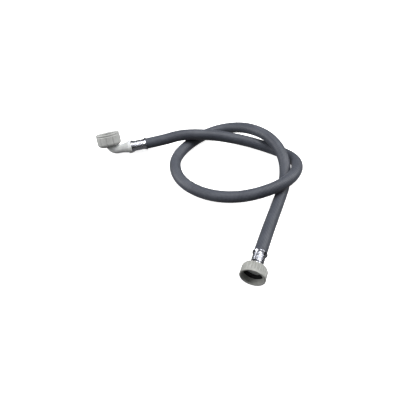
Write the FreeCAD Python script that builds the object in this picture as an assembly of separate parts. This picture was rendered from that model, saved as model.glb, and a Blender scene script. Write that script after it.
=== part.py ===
"""Flexible water supply hose: a straight 3/4 inch union at one end, an elbowed one at the other.

Units are millimetres.  +Z is up and the floor is z = 0.  The straight union opens along -Y.
A union frame has its origin on the tail's sealing face and +Z out of the mouth of the nut.
A hose frame has its origin at the cut end of the hose and +Z along the hose, away from the end.
"""
import math
import os

import FreeCAD
import Part

# ---------------------------------------------------------------- hose
HOSE_OD = 15.5
HOSE_BORE = 10.0
COVER_WALL = 0.9
BRAID_WALL = 0.6

# route of the hose between its two ends, without the runs fixed by the fittings
ROUTE = [
    (-27.5, 103, 25.2),
    (11, 120, 22.5),
    (56, 135, 13.5),
    (101, 137, 7.75),
    (136, 123, 12.3),
    (145.2, 87, 22.6),
    (130, 48.5, 26),
    (87, 22.5, 14.5),
    (40.5, 16.5, 7.75),
    (-1, 28, 7.75),
    (-23.5, 57.5, 9.5),
    (-22.5, 94, 7.75),
    (-6, 132, 7.75),
    (21, 153, 13),
    (57, 154, 23.5),
    (95, 138.5, 27.5),
    (122, 112, 19.5),
    (132.5, 76, 7.75),
    (131.5, 33, 7.75),
]
ELBOW_FIRST_RUN = 42.0
STRAIGHT_LAST_RUN = 47.0
ARC_SHARE = 0.45

# ---------------------------------------------------------------- 3/4 inch parallel pipe thread
THREAD_MINOR_DIAMETER = 24.117
MOUTH_CHAMFER = 0.5

# ---------------------------------------------------------------- nuts
STRAIGHT_NUT_OD = 30.0
STRAIGHT_NUT_LENGTH = 15.5
STRAIGHT_NUT_DOME = 5.0
STRAIGHT_NUT_REAR_OD = 24.0
STRAIGHT_NUT_FLUTES = 24
STRAIGHT_NUT_BAND = 4.5
ELBOW_NUT_OD = 34.0
ELBOW_NUT_LENGTH = 18.7
ELBOW_NUT_DOME = 4.6
ELBOW_NUT_REAR_OD = 26.0
ELBOW_NUT_FLUTES = 12
ELBOW_NUT_BAND = 3.5
NUT_FLOOR = 1.8
NUT_TRAVEL = 1.2
HUB_WALL = 1.3
REAR_CONE = 0.5
FLUTE_RADIUS = 1.2
FLUTE_DEPTH = 0.5
FLUTE_RUN_OUT = 6.0

# ---------------------------------------------------------------- tails
FLANGE_THICKNESS = 2.0
NECK_OD = 14.8
STEM_LENGTH = 17.0
STEM_ROOT_OD = 9.0
STEM_BORE = 7.2
BARB_COUNT = 3

# ---------------------------------------------------------------- elbow
ELBOW_TUBE_OD = 12.4
ELBOW_TAIL = 31.2
FLARE_START = 16.5
FLARE_LENGTH = 7.0
FLARE_OD = 15.2
COLLAR_LENGTH = 5.0
COLLAR_OD = 18.4

# ---------------------------------------------------------------- washers and ferrules
WASHER_THICKNESS = 2.5
WASHER_BORE = 15.0
WASHER_GRIP = 0.5
FERRULE_WALL = 0.5
FERRULE_FRONT = 0.5
STRAIGHT_FERRULE_LENGTH = 19.0
ELBOW_FERRULE_LENGTH = 22.0
LIP_LENGTH = 1.6
LIP_HEIGHT = 0.55
CRIMP_GROOVE_DEPTH = 0.2
CRIMP_GROOVE_WIDTH = 1.6
CRIMP_COUNT = 2

# ---------------------------------------------------------------- clearances
PRESS_GAP = 0.02
LOOSE_GAP = 0.3
SEAT_GAP = 0.2

# ---------------------------------------------------------------- where the two ends lie
STRAIGHT_X = 129.75
STRAIGHT_MOUTH_Y = -87.5
ELBOW_CORNER = (-120.4, 55.85)
ELBOW_YAW = 27.3
ELBOW_PITCH = 8.0
ELBOW_NUT_TILT = 30.0

# ---------------------------------------------------------------- derived sizes
HOSE_R = HOSE_OD / 2
BORE_R = HOSE_BORE / 2
COVER_INNER_R = HOSE_R - COVER_WALL
BRAID_OUTER_R = COVER_INNER_R - PRESS_GAP
BRAID_INNER_R = BRAID_OUTER_R - BRAID_WALL
TUBE_OUTER_R = BRAID_INNER_R - PRESS_GAP

NECK_R = NECK_OD / 2
THREAD_R = THREAD_MINOR_DIAMETER / 2
FLANGE_R = THREAD_R - LOOSE_GAP
WASHER_R = THREAD_R + WASHER_GRIP
RELIEF_R = WASHER_R + LOOSE_GAP
WASHER_REAR = LOOSE_GAP
WASHER_FRONT = WASHER_REAR + WASHER_THICKNESS
RELIEF_REAR = WASHER_REAR - LOOSE_GAP
RELIEF_FRONT = WASHER_FRONT + LOOSE_GAP
NUT_INNER_FLOOR = -(FLANGE_THICKNESS + LOOSE_GAP + NUT_TRAVEL)
NUT_REAR = NUT_INNER_FLOOR - NUT_FLOOR
NUT_STOP = NUT_REAR - LOOSE_GAP

FERRULE_INNER_R = HOSE_R + PRESS_GAP
FERRULE_OUTER_R = FERRULE_INNER_R + FERRULE_WALL
FERRULE_START = -(SEAT_GAP + FERRULE_FRONT)
STEM_PEAK_R = BORE_R - PRESS_GAP

STRAIGHT_HOSE_END = NUT_STOP + FERRULE_START
STRAIGHT_SEAL_Y = STRAIGHT_MOUTH_Y + NUT_REAR + STRAIGHT_NUT_LENGTH
STRAIGHT_Z = STRAIGHT_NUT_OD / 2
ELBOW_LEG = ELBOW_TUBE_OD / 2 - NUT_STOP
ELBOW_BEND_RADIUS = ELBOW_LEG - FLANGE_THICKNESS
BEND_INSIDE_R = ELBOW_BEND_RADIUS - ELBOW_TUBE_OD / 2
BEND_DEPTH = -NUT_REAR - FLANGE_THICKNESS
BEND_REACH = ELBOW_BEND_RADIUS - math.sqrt(BEND_INSIDE_R ** 2 - BEND_DEPTH ** 2)
ELBOW_HOLE_R = BEND_REACH + LOOSE_GAP
COLLAR_END = FERRULE_START - PRESS_GAP
COLLAR_START = COLLAR_END - COLLAR_LENGTH
ELBOW_RISE = math.radians(ELBOW_PITCH)
ELBOW_Z = COLLAR_OD / 2 * math.cos(ELBOW_RISE) - (ELBOW_TAIL + COLLAR_START) * math.sin(ELBOW_RISE)

UP = FreeCAD.Vector(0, 0, 1)
SIDE = FreeCAD.Vector(0, -1, 0)
ORIGIN = FreeCAD.Vector(0, 0, 0)
NO_TURN = FreeCAD.Rotation()


# ---------------------------------------------------------------- frames
def shifted(frame, x, y, z, turn=NO_TURN):
    """Return the frame moved, and then turned, in its own axes."""
    return frame.multiply(FreeCAD.Placement(FreeCAD.Vector(x, y, z), turn))


def elbow_frame():
    """Return the frame at the elbow's corner: +X along the hose tail, +Z along the nut."""
    yaw = math.radians(ELBOW_YAW)
    tilt = math.radians(ELBOW_NUT_TILT)
    level = FreeCAD.Vector(math.cos(yaw), math.sin(yaw), 0)
    away = FreeCAD.Vector(-math.sin(yaw), math.cos(yaw), 0)
    tail = level * math.cos(ELBOW_RISE) + UP * math.sin(ELBOW_RISE)
    nut = tail.cross(away) * math.cos(tilt) + away * math.sin(tilt)
    turn = FreeCAD.Rotation(tail, nut.cross(tail), nut, "ZXY")
    corner = FreeCAD.Vector(ELBOW_CORNER[0], ELBOW_CORNER[1], ELBOW_Z)
    return FreeCAD.Placement(corner, turn)


ELBOW = elbow_frame()
ELBOW_UNION = shifted(ELBOW, 0, 0, ELBOW_LEG)
ELBOW_HOSE = shifted(ELBOW, ELBOW_TAIL, 0, 0, FreeCAD.Rotation(FreeCAD.Vector(0, 1, 0), 90))
STRAIGHT_UNION = FreeCAD.Placement(
    FreeCAD.Vector(STRAIGHT_X, STRAIGHT_SEAL_Y, STRAIGHT_Z),
    FreeCAD.Rotation(FreeCAD.Vector(1, 0, 0), 90),
)
STRAIGHT_HOSE = shifted(
    STRAIGHT_UNION, 0, 0, STRAIGHT_HOSE_END, FreeCAD.Rotation(FreeCAD.Vector(1, 0, 0), 180)
)


def placed(shape, frame):
    """Return a copy of the shape moved from its own axes into the frame."""
    moved = shape.copy()
    moved.Placement = frame.multiply(moved.Placement)
    return moved


# ---------------------------------------------------------------- basic shapes
def outline(profile):
    """Join (radius, height) corners; a corner with a third entry is a point its arc passes."""
    edges = []
    start = FreeCAD.Vector(profile[0][0], 0, profile[0][1])
    via = None
    for corner in profile[1:] + profile[:1]:
        here = FreeCAD.Vector(corner[0], 0, corner[1])
        if len(corner) > 2:
            via = here
            continue
        curve = Part.Arc(start, via, here) if via else Part.LineSegment(start, here)
        edges.append(curve.toShape())
        start = here
        via = None
    return Part.Wire(edges)


def lathe(profile):
    """Turn a closed (radius, height) outline about the Z axis."""
    return Part.Face(outline(profile)).revolve(ORIGIN, UP, 360)


def ring(inner_r, outer_r, low, high):
    """Return a plain tube about the Z axis."""
    return lathe([(inner_r, low), (outer_r, low), (outer_r, high), (inner_r, high)])


def cylinder(radius, low, high):
    """Return a solid bar about the Z axis."""
    return Part.makeCylinder(radius, high - low, FreeCAD.Vector(0, 0, low))


def arc_reach(points, index):
    """Return how far from a corner its tangent arc starts."""
    before = (points[index] - points[index - 1]).Length
    after = (points[index + 1] - points[index]).Length
    return ARC_SHARE * min(before, after)


def half_turn(points, index):
    """Return half the angle, in radians, that the route turns by at a corner."""
    before = points[index] - points[index - 1]
    after = points[index + 1] - points[index]
    return before.getAngle(after) / 2


def tangent_arc(points, index, reach):
    """Return the arc that rounds one corner of the route."""
    corner = points[index]
    back = (points[index - 1] - corner).normalize()
    ahead = (points[index + 1] - corner).normalize()
    half = half_turn(points, index)
    radius = reach / math.tan(half)
    inward = (back + ahead).normalize()
    middle = corner + inward * (radius / math.cos(half) - radius)
    return Part.Arc(corner + back * reach, middle, corner + ahead * reach)


def rounded_wire(points, reaches):
    """Join straight runs by tangent arcs into one wire."""
    edges = []
    start = points[0]
    for index in range(1, len(points) - 1):
        arc = tangent_arc(points, index, reaches[index - 1])
        edges.append(Part.LineSegment(start, arc.StartPoint).toShape())
        edges.append(arc.toShape())
        start = arc.EndPoint
    edges.append(Part.LineSegment(start, points[-1]).toShape())
    return Part.Wire(edges)


def swept_bar(wire, start, direction, radius):
    """Sweep a round solid along a wire that leaves start along direction."""
    section = Part.Wire(Part.makeCircle(radius, start, direction))
    return wire.makePipeShell([section], True, False)


# ---------------------------------------------------------------- hose
def hose_points():
    """Return the route's points, both hose ends included."""
    first = ELBOW_HOSE.Base
    second = shifted(ELBOW_HOSE, 0, 0, ELBOW_FIRST_RUN).Base
    before_last = shifted(STRAIGHT_HOSE, 0, 0, STRAIGHT_LAST_RUN).Base
    last = STRAIGHT_HOSE.Base
    middle = [FreeCAD.Vector(*point) for point in ROUTE]
    return [first, second] + middle + [before_last, last]


def hose_wire():
    """Return the hose's centre line."""
    points = hose_points()
    reaches = [arc_reach(points, index) for index in range(1, len(points) - 1)]
    return rounded_wire(points, reaches)


def hose_layer(inner_r, outer_r):
    """Return one layer of the hose's wall, from end to end."""
    points = hose_points()
    wire = hose_wire()
    outer = swept_bar(wire, points[0], points[1] - points[0], outer_r)
    return outer.cut(swept_bar(wire, points[0], points[1] - points[0], inner_r))


def hose_cover():
    """Return the outer cover."""
    return hose_layer(COVER_INNER_R, HOSE_R)


def hose_braid():
    """Return the reinforcement under the cover."""
    return hose_layer(BRAID_INNER_R, BRAID_OUTER_R)


def hose_inner_tube():
    """Return the tube that carries the water."""
    return hose_layer(BORE_R, TUBE_OUTER_R)


# ---------------------------------------------------------------- tails
def barbed_stem():
    """Return the barbed stem, in the hose frame, with its neck behind the hose's cut end."""
    root_r = STEM_ROOT_OD / 2
    pitch = STEM_LENGTH / BARB_COUNT
    profile = [(0, -SEAT_GAP / 2), (root_r, -SEAT_GAP / 2)]
    for index in range(BARB_COUNT):
        start = index * pitch
        profile.append((root_r, start + pitch / 4))
        profile.append((STEM_PEAK_R, start + pitch / 4))
        profile.append((root_r, start + pitch))
    profile.append((0, STEM_LENGTH))
    return lathe(profile)


def straight_tail():
    """Return the straight union's tail: flange, neck and barbed stem, bored through."""
    neck_end = STRAIGHT_HOSE_END + SEAT_GAP / 2
    body = cylinder(FLANGE_R, -FLANGE_THICKNESS, 0)
    body = body.fuse(cylinder(NECK_R, neck_end, -FLANGE_THICKNESS))
    body = placed(body, STRAIGHT_UNION).fuse(placed(barbed_stem(), STRAIGHT_HOSE))
    bore = cylinder(STEM_BORE / 2, STRAIGHT_HOSE_END - STEM_LENGTH, 0)
    return body.cut(placed(bore, STRAIGHT_UNION)).removeSplitter()


def elbow_bend(radius):
    """Return a round bar bent through the elbow, in the elbow's own frame."""
    start = FreeCAD.Vector(0, 0, ELBOW_LEG - FLANGE_THICKNESS / 2)
    points = [start, ORIGIN, FreeCAD.Vector(ELBOW_TAIL + COLLAR_START, 0, 0)]
    return swept_bar(rounded_wire(points, [ELBOW_BEND_RADIUS]), start, UP, radius)


def elbow_tail():
    """Return the flare, collar, neck and barbed stem of the elbow, in the hose frame."""
    tube_r = ELBOW_TUBE_OD / 2
    flare_low = FLARE_START - ELBOW_TAIL
    flare_high = flare_low + FLARE_LENGTH
    flare = lathe([
        (0, flare_low),
        (tube_r, flare_low),
        (FLARE_OD / 2, flare_high),
        (FLARE_OD / 2, COLLAR_START + COLLAR_LENGTH / 2),
        (0, COLLAR_START + COLLAR_LENGTH / 2),
    ])
    collar = cylinder(COLLAR_OD / 2, COLLAR_START, COLLAR_END)
    neck = cylinder(NECK_R, COLLAR_END, -SEAT_GAP / 2)
    return flare.fuse([collar, neck, barbed_stem()])


def elbow_body():
    """Return the elbow: flange, bend, flared tail, collar and barbed stem, bored through."""
    flange = cylinder(FLANGE_R, -FLANGE_THICKNESS, 0)
    body = placed(elbow_bend(ELBOW_TUBE_OD / 2), ELBOW)
    body = body.fuse([placed(flange, ELBOW_UNION), placed(elbow_tail(), ELBOW_HOSE)])
    bore_r = STEM_BORE / 2
    bores = [
        placed(elbow_bend(bore_r), ELBOW),
        placed(cylinder(bore_r, -FLANGE_THICKNESS, 0), ELBOW_UNION),
        placed(cylinder(bore_r, COLLAR_START, STEM_LENGTH), ELBOW_HOSE),
    ]
    return body.cut(bores).removeSplitter()


# ---------------------------------------------------------------- ferrules and washers
def crimp_outline(length):
    """Return the outside of a ferrule, from its front to its lip, with crimp grooves."""
    plain = length + FERRULE_START - LIP_LENGTH
    pitch = plain / (CRIMP_COUNT + 1)
    outline = [(FERRULE_OUTER_R, FERRULE_START)]
    for index in range(CRIMP_COUNT):
        middle = (index + 1) * pitch
        bottom_r = FERRULE_OUTER_R - CRIMP_GROOVE_DEPTH
        outline.append((FERRULE_OUTER_R, middle - CRIMP_GROOVE_WIDTH / 2))
        outline.append((bottom_r, middle - CRIMP_GROOVE_WIDTH / 4))
        outline.append((bottom_r, middle + CRIMP_GROOVE_WIDTH / 4))
        outline.append((FERRULE_OUTER_R, middle + CRIMP_GROOVE_WIDTH / 2))
    return outline


def ferrule(length, frame):
    """Return a crimp ferrule of the given length, front wall and rolled lip included."""
    end = length + FERRULE_START
    lip_r = FERRULE_OUTER_R + LIP_HEIGHT
    profile = [(NECK_R + PRESS_GAP, FERRULE_START)]
    profile += crimp_outline(length)
    profile += [
        (FERRULE_OUTER_R, end - LIP_LENGTH),
        (lip_r, end - LIP_LENGTH * 2 / 3),
        (lip_r, end - LIP_LENGTH / 3),
        (FERRULE_OUTER_R, end),
        (FERRULE_INNER_R, end),
        (FERRULE_INNER_R, FERRULE_START + FERRULE_FRONT),
        (NECK_R + PRESS_GAP, FERRULE_START + FERRULE_FRONT),
    ]
    return placed(lathe(profile), frame)


def straight_ferrule():
    """Return the ferrule of the straight end."""
    return ferrule(STRAIGHT_FERRULE_LENGTH, STRAIGHT_HOSE)


def elbow_ferrule():
    """Return the ferrule of the elbow end."""
    return ferrule(ELBOW_FERRULE_LENGTH, ELBOW_HOSE)


def straight_washer():
    """Return the sealing washer held in the straight nut."""
    return placed(ring(WASHER_BORE / 2, WASHER_R, WASHER_REAR, WASHER_FRONT), STRAIGHT_UNION)


def elbow_washer():
    """Return the sealing washer held in the elbow's nut."""
    return placed(ring(WASHER_BORE / 2, WASHER_R, WASHER_REAR, WASHER_FRONT), ELBOW_UNION)


# ---------------------------------------------------------------- nuts
def dome_arc(outer_r, rear_r, length):
    """Return the radius of the dome's arc, and the angle it turns, tangent to the outside."""
    drop = outer_r - rear_r
    radius = (drop ** 2 + length ** 2) / (2 * drop)
    return radius, math.asin(length / radius)


def straight_flute(outer_r, low, high):
    """Return a bar that cuts one grip flute along the outside."""
    foot = FreeCAD.Vector(outer_r + FLUTE_RADIUS - FLUTE_DEPTH, 0, low)
    return Part.makeCylinder(FLUTE_RADIUS, high - low, foot)


def domed_flute(outer_r, rear_r, dome, high):
    """Return a bar that cuts one grip flute over the dome and along the outside."""
    radius, turn = dome_arc(outer_r, rear_r, dome)
    low = NUT_REAR + REAR_CONE + dome
    centre = FreeCAD.Vector(outer_r - radius, 0, low)
    sweep = math.degrees(turn) + FLUTE_RUN_OUT
    reach = radius + FLUTE_RADIUS - FLUTE_DEPTH
    bend = Part.makeTorus(reach, FLUTE_RADIUS, centre, SIDE, -180, 180, sweep)
    return bend.fuse(straight_flute(outer_r, low - SEAT_GAP, high))


def fluted(nut, bar, count):
    """Cut evenly spaced copies of a bar out of the outside of a nut."""
    bars = []
    for index in range(count):
        copy = bar.copy()
        copy.rotate(ORIGIN, UP, 360 * index / count)
        bars.append(copy)
    return nut.cut(bars)


def union_nut(outer_d, rear_d, length, dome, hole_r):
    """Return a union nut in the union frame, its thread as a plain minor-diameter bore."""
    outer_r = outer_d / 2
    mouth = NUT_REAR + length
    low = NUT_REAR + REAR_CONE + dome
    radius, turn = dome_arc(outer_r, rear_d / 2, dome)
    via_r = outer_r - radius * (1 - math.cos(turn / 2))
    profile = [
        (hole_r, NUT_REAR),
        (hole_r + HUB_WALL, NUT_REAR),
        (rear_d / 2, NUT_REAR + REAR_CONE),
        (via_r, low - radius * math.sin(turn / 2), "arc"),
        (outer_r, low),
        (outer_r, mouth - MOUTH_CHAMFER / 2),
        (outer_r - MOUTH_CHAMFER / 2, mouth),
        (THREAD_R + MOUTH_CHAMFER, mouth),
        (THREAD_R, mouth - MOUTH_CHAMFER),
        (THREAD_R, RELIEF_FRONT),
        (RELIEF_R, RELIEF_FRONT),
        (RELIEF_R, RELIEF_REAR),
        (THREAD_R, RELIEF_REAR),
        (THREAD_R, NUT_INNER_FLOOR),
        (hole_r, NUT_INNER_FLOOR),
    ]
    return lathe(profile)


def straight_nut():
    """Return the nut of the straight end."""
    nut = union_nut(
        STRAIGHT_NUT_OD, STRAIGHT_NUT_REAR_OD, STRAIGHT_NUT_LENGTH,
        STRAIGHT_NUT_DOME, NECK_R + LOOSE_GAP,
    )
    high = NUT_REAR + STRAIGHT_NUT_LENGTH - STRAIGHT_NUT_BAND
    bar = domed_flute(STRAIGHT_NUT_OD / 2, STRAIGHT_NUT_REAR_OD / 2, STRAIGHT_NUT_DOME, high)
    return placed(fluted(nut, bar, STRAIGHT_NUT_FLUTES), STRAIGHT_UNION)


def elbow_nut():
    """Return the nut of the elbow end."""
    nut = union_nut(
        ELBOW_NUT_OD, ELBOW_NUT_REAR_OD, ELBOW_NUT_LENGTH,
        ELBOW_NUT_DOME, ELBOW_HOLE_R,
    )
    high = NUT_REAR + ELBOW_NUT_LENGTH - ELBOW_NUT_BAND
    bar = straight_flute(ELBOW_NUT_OD / 2, NUT_REAR, high)
    return placed(fluted(nut, bar, ELBOW_NUT_FLUTES), ELBOW_UNION)


NODES = {
    "hose_cover": hose_cover,
    "hose_braid": hose_braid,
    "hose_inner_tube": hose_inner_tube,
    "straight_tail": straight_tail,
    "straight_ferrule": straight_ferrule,
    "straight_washer": straight_washer,
    "straight_nut": straight_nut,
    "elbow_body": elbow_body,
    "elbow_ferrule": elbow_ferrule,
    "elbow_washer": elbow_washer,
    "elbow_nut": elbow_nut,
}


def report_hose(cover):
    """Print the hose's length and bend radii, and its cover's volume against section x length."""
    points = hose_points()
    length = hose_wire().Length
    radii = []
    for index in range(1, len(points) - 1):
        radii.append(arc_reach(points, index) / math.tan(half_turn(points, index)))
    print("centre line length %.1f" % length)
    print("bend radii", " ".join("%.0f" % radius for radius in radii))
    section = math.pi * (HOSE_R ** 2 - COVER_INNER_R ** 2)
    print("cover volume %.1f, section x length %.1f" % (cover.Volume, section * length))


def main():
    """Build every node and write it to its own STEP file."""
    os.makedirs("parts", exist_ok=True)
    for node, build in NODES.items():
        shape = build()
        shape.exportStep("parts/" + node + ".step")
        bounds = shape.BoundBox
        print(
            "%-16s valid %s solids %d volume %9.1f  x %7.1f %7.1f  y %7.1f %7.1f  z %6.2f %6.2f"
            % (node, shape.isValid(), len(shape.Solids), shape.Volume, bounds.XMin, bounds.XMax,
               bounds.YMin, bounds.YMax, bounds.ZMin, bounds.ZMax)
        )
        if node == "hose_cover":
            report_hose(shape)


main()
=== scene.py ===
"""Looks of an appliance water supply hose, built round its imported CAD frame.

The hose lies in a loose overhand knot on a pale floor.  It has a straight union nut at one end,
an elbowed union nut at the other, and a crimped ferrule on each cut end.  Sizes are millimetres
in the dataclasses and are turned to metres where a surface is placed.

A union axis starts on the tail's sealing face and points out of the mouth of the nut.  A hose
axis starts at the cut end of the hose and points along the hose, away from that end.
"""
import logging
import math
from collections.abc import Callable
from dataclasses import dataclass, field
from enum import Enum

import bpy
import numpy as np
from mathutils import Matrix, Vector


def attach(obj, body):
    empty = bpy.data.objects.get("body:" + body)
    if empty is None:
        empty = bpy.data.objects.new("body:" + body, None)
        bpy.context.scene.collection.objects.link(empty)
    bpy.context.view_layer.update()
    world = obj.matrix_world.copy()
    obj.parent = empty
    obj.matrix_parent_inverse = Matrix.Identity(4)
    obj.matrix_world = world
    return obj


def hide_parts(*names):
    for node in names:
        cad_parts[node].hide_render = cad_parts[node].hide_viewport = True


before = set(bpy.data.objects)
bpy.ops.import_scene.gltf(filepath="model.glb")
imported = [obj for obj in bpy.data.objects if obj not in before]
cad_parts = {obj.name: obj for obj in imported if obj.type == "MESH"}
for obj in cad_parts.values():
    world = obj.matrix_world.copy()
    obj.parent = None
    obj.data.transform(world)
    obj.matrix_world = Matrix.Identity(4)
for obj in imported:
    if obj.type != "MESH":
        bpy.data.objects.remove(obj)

LOG = logging.getLogger("supply_hose")
MM = 0.001
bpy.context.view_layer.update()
Array = np.ndarray
Colour = tuple[float, float, float, float]
Corner = tuple[float, float, float]  # radius, height and rounding
Material = bpy.types.Material
Node = bpy.types.Node
Object = bpy.types.Object
Tree = bpy.types.NodeTree
Shape = Callable[[Array, Array, Array], tuple[Array, Array]]


class Body(Enum):
    """The rigid bodies of the frame that the pieces ride on."""

    HOSE = "hose_assembly"
    STRAIGHT_WASHER = "straight_washer_body"
    STRAIGHT_NUT = "straight_nut_body"
    ELBOW_WASHER = "elbow_washer_body"
    ELBOW_NUT = "elbow_nut_body"


# ------------------------------------------------------------------ colour and nodes
def linear(hex_colour: str) -> Colour:
    """Turn an sRGB hex colour to linear values.

    Args:
        hex_colour: six hex digits, such as "8a8f99".

    Returns:
        Red, green, blue and an alpha of 1, linear.
    """
    parts = [int(hex_colour[i:i + 2], 16) / 255 for i in (0, 2, 4)]
    values = [c / 12.92 if c <= 0.04045 else ((c + 0.055) / 1.055) ** 2.4 for c in parts]
    return (values[0], values[1], values[2], 1.0)


def grey(value: float) -> Colour:
    """Return a neutral linear colour of the given value."""
    return (value, value, value, 1.0)


def set_node(tree: Tree, node: Node, settings: dict | None = None,
             links: dict | None = None) -> Node:
    """Set a node's properties, inputs and colour stops, and link its inputs.

    Args:
        tree: the node tree that the node is in.
        node: the node.
        settings: property names, input names or input numbers, to their values; "stops" is a
            list of (position, colour) for a colour ramp.
        links: input names or numbers, to the output sockets that feed them.

    Returns:
        The node.
    """
    settings = dict(settings or {})
    stops = settings.pop("stops", [])
    for name in [key for key in settings if isinstance(key, str) and key not in node.inputs]:
        setattr(node, name, settings.pop(name))
    for name, value in settings.items():
        node.inputs[name].default_value = value
    for place, _ in stops[2:]:
        node.color_ramp.elements.new(place)
    for index, (place, colour) in enumerate(stops):
        node.color_ramp.elements[index].position = place
        node.color_ramp.elements[index].color = colour
    for name, socket in (links or {}).items():
        tree.links.new(socket, node.inputs[name])
    return node


def add_node(tree: Tree, kind: str, settings: dict | None = None,
             links: dict | None = None) -> Node:
    """Add a node, its kind given without the ShaderNode prefix, and set it with set_node."""
    return set_node(tree, tree.nodes.new("ShaderNode" + kind), settings, links)


def slanted_wave(tree: Tree, slant: str, count: int) -> bpy.types.NodeSocket:
    """Return sin(2 pi n (u + v)) or sin(2 pi n (u - v)), with u and v in turns of the wall.

    Args:
        tree: the node tree to add to.
        slant: ADD for u + v, or SUBTRACT for u - v.
        count: n, how many waves there are round the wall.

    Returns:
        The output socket that carries the wave.
    """
    uv = add_node(tree, "UVMap", {"uv_map": "wall"}).outputs["UV"]
    part = add_node(tree, "SeparateXYZ", links={0: uv}).outputs
    turns = add_node(tree, "Math", {"operation": slant}, {0: part["X"], 1: part["Y"]})
    phase = add_node(tree, "Math", {"operation": "MULTIPLY", 1: 2 * math.pi * count},
                     {0: turns.outputs[0]})
    return add_node(tree, "Math", {"operation": "SINE"}, {0: phase.outputs[0]}).outputs[0]


class Finish:
    """A finish that makes one node material from its own fields."""

    name: str

    def build(self) -> Material:
        """Return the material, with its nodes dressed."""
        material = bpy.data.materials.new(self.name)
        material.use_nodes = True
        tree = material.node_tree
        self.dress(tree, tree.nodes["Principled BSDF"])
        return material

    def dress(self, tree: Tree, shader: Node) -> None:
        """Add the finish's own nodes and set its shader's sockets."""
        raise NotImplementedError


# ------------------------------------------------------------------ finishes
@dataclass(frozen=True)
class ClothMarkedRubber(Finish):
    """Extruded rubber cover, cured in a cloth wrap that leaves a fine crossed weave on it.

    The eye sees a matt slate grey whose highlight is broken into small diamonds, with faint
    paler patches where talc and handling have dulled it.  Its colour also carries painted shade in
    the weave's hollows and a painted highlight on its crowns.
    """

    name: str = "cloth_marked_rubber"
    # the two weave tones: painted shade in the weave's hollows, painted highlight on its crowns
    hollow: str = "181b23"
    crown_painted_highlight: str = "4e535f"
    rubbed: str = "60646d"
    # 3.2 mm apart: about four times as coarse as real cloth, so that it shows
    yarns_round: int = 15
    roughness: float = 0.52
    relief: float = 0.2  # mm
    patch: float = 30.0  # mm
    grit: float = 0.7  # mm

    def dress(self, tree: Tree, shader: Node) -> None:
        """Mark the weave as sin(2 pi n (u + v)) sin(2 pi n (u - v)), u and v in turns.

        Args:
            tree: the material's node tree.
            shader: its Principled shader.
        """
        waves = {index: slanted_wave(tree, slant, self.yarns_round)
                 for index, slant in enumerate(("ADD", "SUBTRACT"))}
        crossed = add_node(tree, "Math", {"operation": "MULTIPLY"}, waves)
        weave = add_node(tree, "Math", {"operation": "MULTIPLY_ADD", 1: 0.5, 2: 0.5},
                         {0: crossed.outputs[0]}).outputs[0]
        place = add_node(tree, "TexCoord").outputs["Object"]
        patches = add_node(tree, "TexNoise",
                           {"Scale": 1 / (self.patch * MM), "Detail": 4.0, "Roughness": 0.6},
                           {"Vector": place})
        grit = add_node(tree, "TexNoise",
                        {"Scale": 1 / (self.grit * MM), "Detail": 2.0, "Roughness": 0.6},
                        {"Vector": place}).outputs["Fac"]
        # painted shade in the weave's hollows and painted highlight on its crowns, on the wave that
        # also drives the bump
        cloth = add_node(tree, "ValToRGB",
                         {"stops": [(0.2, linear(self.hollow)), (0.65, linear(self.crown_painted_highlight))]},
                         {0: weave})
        share = add_node(tree, "ValToRGB",
                         {"stops": [(0.45, grey(0.0)), (0.75, grey(0.45))]},
                         {0: patches.outputs["Fac"]})
        colour = add_node(tree, "Mix", {"data_type": "RGBA", 7: linear(self.rubbed)},
                          {0: share.outputs["Color"], 6: cloth.outputs["Color"]})
        gloss = add_node(tree, "MapRange",
                         {"From Min": 0.3, "From Max": 0.7, "To Min": self.roughness - 0.06,
                          "To Max": self.roughness + 0.1}, {"Value": grit})
        height = add_node(tree, "Math", {"operation": "MULTIPLY_ADD", 1: 0.3}, {0: grit, 2: weave})
        bump = add_node(tree, "Bump", {"Strength": 0.6, "Distance": self.relief * MM},
                        {"Height": height.outputs[0]})
        set_node(tree, shader, {"IOR": 1.52, "Specular IOR Level": 0.55, "Sheen Weight": 0.12},
                 {"Base Color": colour.outputs[2], "Roughness": gloss.outputs[0],
                  "Normal": bump.outputs[0]})


@dataclass(frozen=True)
class MouldedPolypropylene(Finish):
    """Injection-moulded polypropylene: waxy, with a fine skin and faint flow streaks.

    The eye sees a soft-edged highlight, slightly uneven, and colour that drifts a little
    across the part where the melt has flowed.
    """

    name: str
    base: str
    streak: str
    roughness: float = 0.4
    translucency: float = 0.05
    skin: float = 0.5  # mm
    flow: float = 9.0  # mm

    def dress(self, tree: Tree, shader: Node) -> None:
        """Drift the colour along flow streaks and roughen the skin with a fine noise.

        Args:
            tree: the material's node tree.
            shader: its Principled shader.
        """
        place = add_node(tree, "TexCoord").outputs["Object"]
        flow = add_node(tree, "TexNoise",
                        {"Scale": 1 / (self.flow * MM), "Detail": 4.0, "Roughness": 0.6,
                         "Distortion": 0.8}, {"Vector": place})
        skin = add_node(tree, "TexNoise",
                        {"Scale": 1 / (self.skin * MM), "Detail": 2.0}, {"Vector": place})
        colour = add_node(tree, "ValToRGB",
                          {"stops": [(0.35, linear(self.base)), (0.7, linear(self.streak))]},
                          {0: flow.outputs["Fac"]})
        gloss = add_node(tree, "MapRange",
                         {"From Min": 0.3, "From Max": 0.7, "To Min": self.roughness - 0.06,
                          "To Max": self.roughness + 0.08}, {"Value": skin.outputs["Fac"]})
        bump = add_node(tree, "Bump", {"Strength": 0.3, "Distance": 0.03 * MM},
                        {"Height": skin.outputs["Fac"]})
        set_node(tree, shader,
                 {"IOR": 1.49, "Subsurface Weight": self.translucency,
                  "Subsurface Radius": (1.0, 1.0, 0.95), "Subsurface Scale": 1.6 * MM},
                 {"Base Color": colour.outputs["Color"], "Roughness": gloss.outputs[0],
                  "Normal": bump.outputs[0]})


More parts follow.
